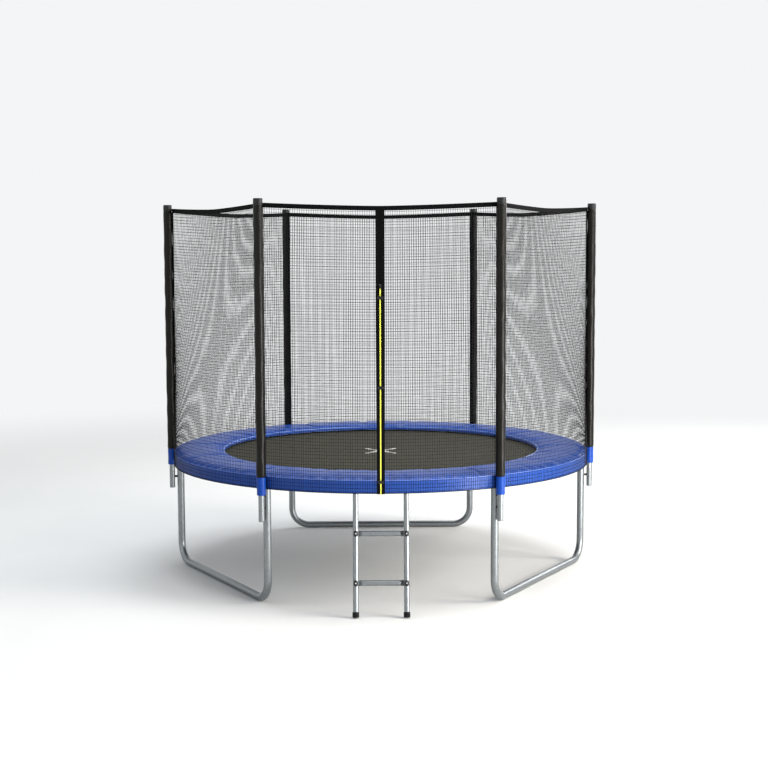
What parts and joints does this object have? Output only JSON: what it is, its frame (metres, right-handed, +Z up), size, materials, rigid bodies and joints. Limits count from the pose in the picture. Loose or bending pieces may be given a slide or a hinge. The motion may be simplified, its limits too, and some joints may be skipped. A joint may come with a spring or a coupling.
{
  "type": "trampoline",
  "caption": "Round garden trampoline with a net enclosure on padded poles, U-shaped legs, a blue safety pad, a zip door and a small leaning ladder.",
  "frame": {"origin": "on the floor, under the middle of the trampoline's box with the ladder leaning out", "axes": "+Z up; -Y towards the ladder and the zip door; +X to the right as seen from the ladder's side"},
  "size_m": [2.5468, 2.5554, 2.135],
  "materials": {
    "galvanised_steel": "satin",
    "spring_wire": "satin",
    "pad_vinyl": "satin",
    "boot_vinyl": "satin",
    "sleeve_foam": "satin",
    "mat_cloth": "matte",
    "net_cloth": "matte",
    "zip_tape": "satin",
    "black_plastic": "satin",
    "foot_rubber": "matte"
  },
  "bodies": {
    "frame": {"top_rail_right": "galvanised_steel", "leg_upright_right": "galvanised_steel", "pole_right": "galvanised_steel", "pole_boot_right": "boot_vinyl", "pole_sleeve_right": "sleeve_foam", "pole_cap_right": "black_plastic", "top_rail_back_right": "galvanised_steel", "leg_upright_back_right": "galvanised_steel", "pole_back_right": "galvanised_steel", "pole_boot_back_right": "boot_vinyl", "pole_sleeve_back_right": "sleeve_foam", "pole_cap_back_right": "black_plastic", "top_rail_back_left": "galvanised_steel", "leg_upright_back_left": "galvanised_steel", "pole_back_left": "galvanised_steel", "pole_boot_back_left": "boot_vinyl", "pole_sleeve_back_left": "sleeve_foam", "pole_cap_back_left": "black_plastic", "top_rail_left": "galvanised_steel", "leg_upright_left": "galvanised_steel", "pole_left": "galvanised_steel", "pole_boot_left": "boot_vinyl", "pole_sleeve_left": "sleeve_foam", "pole_cap_left": "black_plastic", "top_rail_front_left": "galvanised_steel", "leg_upright_front_left": "galvanised_steel", "pole_front_left": "galvanised_steel", "pole_boot_front_left": "boot_vinyl", "pole_sleeve_front_left": "sleeve_foam", "pole_cap_front_left": "black_plastic", "top_rail_front_right": "galvanised_steel", "leg_upright_front_right": "galvanised_steel", "pole_front_right": "galvanised_steel", "pole_boot_front_right": "boot_vinyl", "pole_sleeve_front_right": "sleeve_foam", "pole_cap_front_right": "black_plastic", "leg_base_back": "galvanised_steel", "leg_base_left": "galvanised_steel", "leg_base_right": "galvanised_steel", "safety_pad": "pad_vinyl", "springs": "spring_wire", "net_panel_back_right": "net_cloth", "net_panel_back": "net_cloth", "net_panel_back_left": "net_cloth", "net_panel_front_left": "net_cloth", "net_panel_front": "net_cloth", "net_panel_front_right": "net_cloth", "zip_chain": "zip_tape", "door_buckle_1": "black_plastic", "door_buckle_2": "black_plastic", "door_buckle_3": "black_plastic"},
    "mat": {"jumping_mat": "mat_cloth"},
    "ladder": {"ladder_rail_left": "galvanised_steel", "ladder_foot_left": "foot_rubber", "ladder_rail_right": "galvanised_steel", "ladder_foot_right": "foot_rubber", "ladder_rung_1": "galvanised_steel", "ladder_rung_2": "galvanised_steel"},
    "zip_slider": {"zip_slider": "black_plastic"},
    "zip_pull": {"zip_pull": "black_plastic"}
  },
  "joints": [
    {"name": "mat_bounce", "type": "slide", "parent": "frame", "child": "mat", "axis": [0, 0, 1], "range_m": [-0.25, 0.006], "stiffness_N_per_m": 5000, "springref_m": 0.00585, "deforming": ["springs"]},
    {"name": "ladder_swing", "type": "hinge", "parent": "frame", "child": "ladder", "pos_m": [0, -1.13273, 0.652], "axis": [1, 0, 0], "range_deg": [0, 25]},
    {"name": "zip_slide", "type": "slide", "parent": "frame", "child": "zip_slider", "axis": [0, -0.1181, -0.993], "range_m": [0, 0.895]},
    {"name": "zip_pull_swing", "type": "hinge", "parent": "zip_slider", "child": "zip_pull", "pos_m": [0, -1.06094, 1.67905], "axis": [-1, 0, 0], "range_deg": [0, 110]}
  ]
}
